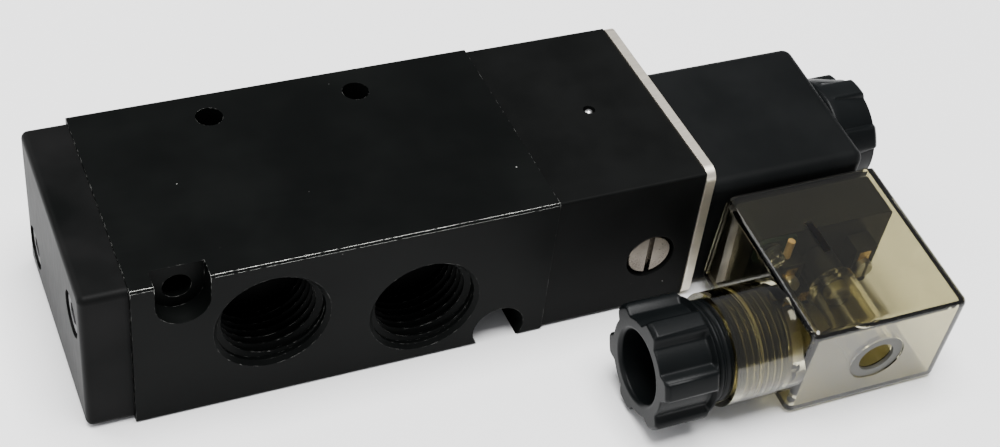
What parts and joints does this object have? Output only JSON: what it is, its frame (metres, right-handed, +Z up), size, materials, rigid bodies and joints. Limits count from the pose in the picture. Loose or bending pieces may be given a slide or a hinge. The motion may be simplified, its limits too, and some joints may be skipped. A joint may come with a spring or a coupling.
{
  "type": "solenoid directional valve",
  "caption": "Black pneumatic spool valve with pilot stage, plug-in coil on a guide tube and smoky clear cable plug with a gland, lying on its broad side.",
  "frame": {"origin": "middle of the main body's rest face", "axes": "+X from the spring end cap to the coil, +Z up from the rest face, -Y to the side with the work ports"},
  "size_m": [0.1723, 0.0879, 0.034],
  "materials": {
    "black_anodised": "black anodised, fine brushed",
    "black_painted_cap": "black anodised casting",
    "black_plastic": "moulded, satin",
    "seal_rubber": "nitrile",
    "dark_screw_steel": "black oxide",
    "zinc_steel": "zinc plated",
    "spring_steel": "drawn wire",
    "brass_parts": "machined",
    "satin_plate": "satin, warm grey",
    "stainless_tube": "ground",
    "nickel_pin": "nickel plated, turned",
    "spool_aluminium": "turned",
    "white_plastic": "moulded",
    "copper_wire": "enamelled copper, given brass's density",
    "smoked_clear": "smoky clear polycarbonate",
    "board_green": "circuit board",
    "led_clear": "clear resin",
    "resistor_tan": "lacquered"
  },
  "bodies": {
    "valve_body": {"main_body": "black_anodised", "end_cap": "black_painted_cap", "end_cap_gasket": "seal_rubber", "end_cap_screws": "dark_screw_steel", "return_spring": "spring_steel", "pilot_body": "black_plastic", "pilot_gasket": "seal_rubber", "pilot_nozzle": "brass_parts", "breather_ball": "spring_steel", "override_spring": "spring_steel", "flange_plate": "satin_plate", "plate_screws": "zinc_steel", "guide_tube": "stainless_tube", "tube_oring": "seal_rubber", "fixed_core": "stainless_tube", "armature_spring": "spring_steel"},
    "spool_train": {"spool": "spool_aluminium", "spool_seals": "seal_rubber", "pilot_piston": "white_plastic", "piston_seal": "seal_rubber"},
    "armature_set": {"armature": "stainless_tube", "armature_seal": "seal_rubber"},
    "override_slide": {"override_oring": "seal_rubber"},
    "override_knob": {"override_pin": "nickel_pin"},
    "coil_set": {"coil_body": "black_plastic", "coil_yoke": "zinc_steel", "coil_bobbin": "white_plastic", "coil_winding": "copper_wire", "coil_terminals": "brass_parts", "plug_gasket": "seal_rubber", "plug_housing": "smoked_clear", "plug_insert": "black_plastic", "plug_contacts": "brass_parts", "clamp_screws": "zinc_steel", "plug_screw": "zinc_steel", "indicator_board": "board_green", "indicator_led": "led_clear", "indicator_resistor": "resistor_tan", "gland_grommet": "seal_rubber"},
    "coil_nut_carriage": {"coil_washer": "zinc_steel"},
    "coil_nut_grip": {"coil_nut": "black_plastic"},
    "gland_carriage": {"gland_washer": "white_plastic"},
    "gland_nut_grip": {"gland_nut": "black_plastic"}
  },
  "joints": [
    {"name": "spool_slide", "type": "slide", "parent": "valve_body", "child": "spool_train", "axis": [-1, 0, 0], "range_m": [0, 0.005], "stiffness_N_per_m": 2500, "springref_m": -0.01, "deforming": ["return_spring"]},
    {"name": "armature_slide", "type": "slide", "parent": "valve_body", "child": "armature_set", "axis": [1, 0, 0], "range_m": [0, 0.0013], "stiffness_N_per_m": 300, "springref_m": -0.005, "deforming": ["armature_spring"]},
    {"name": "override_press", "type": "slide", "parent": "valve_body", "child": "override_slide", "axis": [0, 1, 0], "range_m": [0, 0.0015], "stiffness_N_per_m": 800, "springref_m": -0.003, "deforming": ["override_spring"]},
    {"name": "override_turn", "type": "hinge", "parent": "override_slide", "child": "override_knob", "pos_m": [0.06395, -0.024, 0.0138], "axis": [0, 1, 0], "range_deg": [0, 90]},
    {"name": "coil_swivel", "type": "hinge", "parent": "valve_body", "child": "coil_set", "pos_m": [0.093, -0.0033, 0.017], "axis": [1, 0, 0], "continuous": true},
    {"name": "coil_nut_travel", "type": "slide", "parent": "valve_body", "child": "coil_nut_carriage", "axis": [1, 0, 0], "range_m": [0, 0.006]},
    {"name": "coil_nut_turn", "type": "hinge", "parent": "coil_nut_carriage", "child": "coil_nut_grip", "pos_m": [0.117, -0.0033, 0.017], "axis": [1, 0, 0], "range_deg": [0, 2160]},
    {"name": "gland_travel", "type": "slide", "parent": "coil_set", "child": "gland_carriage", "axis": [-1, 0, 0], "range_m": [-0.002, 0.005], "deforming": ["gland_grommet"]},
    {"name": "gland_nut_turn", "type": "hinge", "parent": "gland_carriage", "child": "gland_nut_grip", "pos_m": [0.0585, -0.05062, 0.01286], "axis": [-1, 0, 0], "range_deg": [-480, 1200]}
  ],
  "couplings": [
    {"joint": "coil_nut_travel", "follows": "coil_nut_turn", "m_per_rad": 0.00015915},
    {"joint": "gland_travel", "follows": "gland_nut_turn", "m_per_rad": 0.00023873}
  ]
}
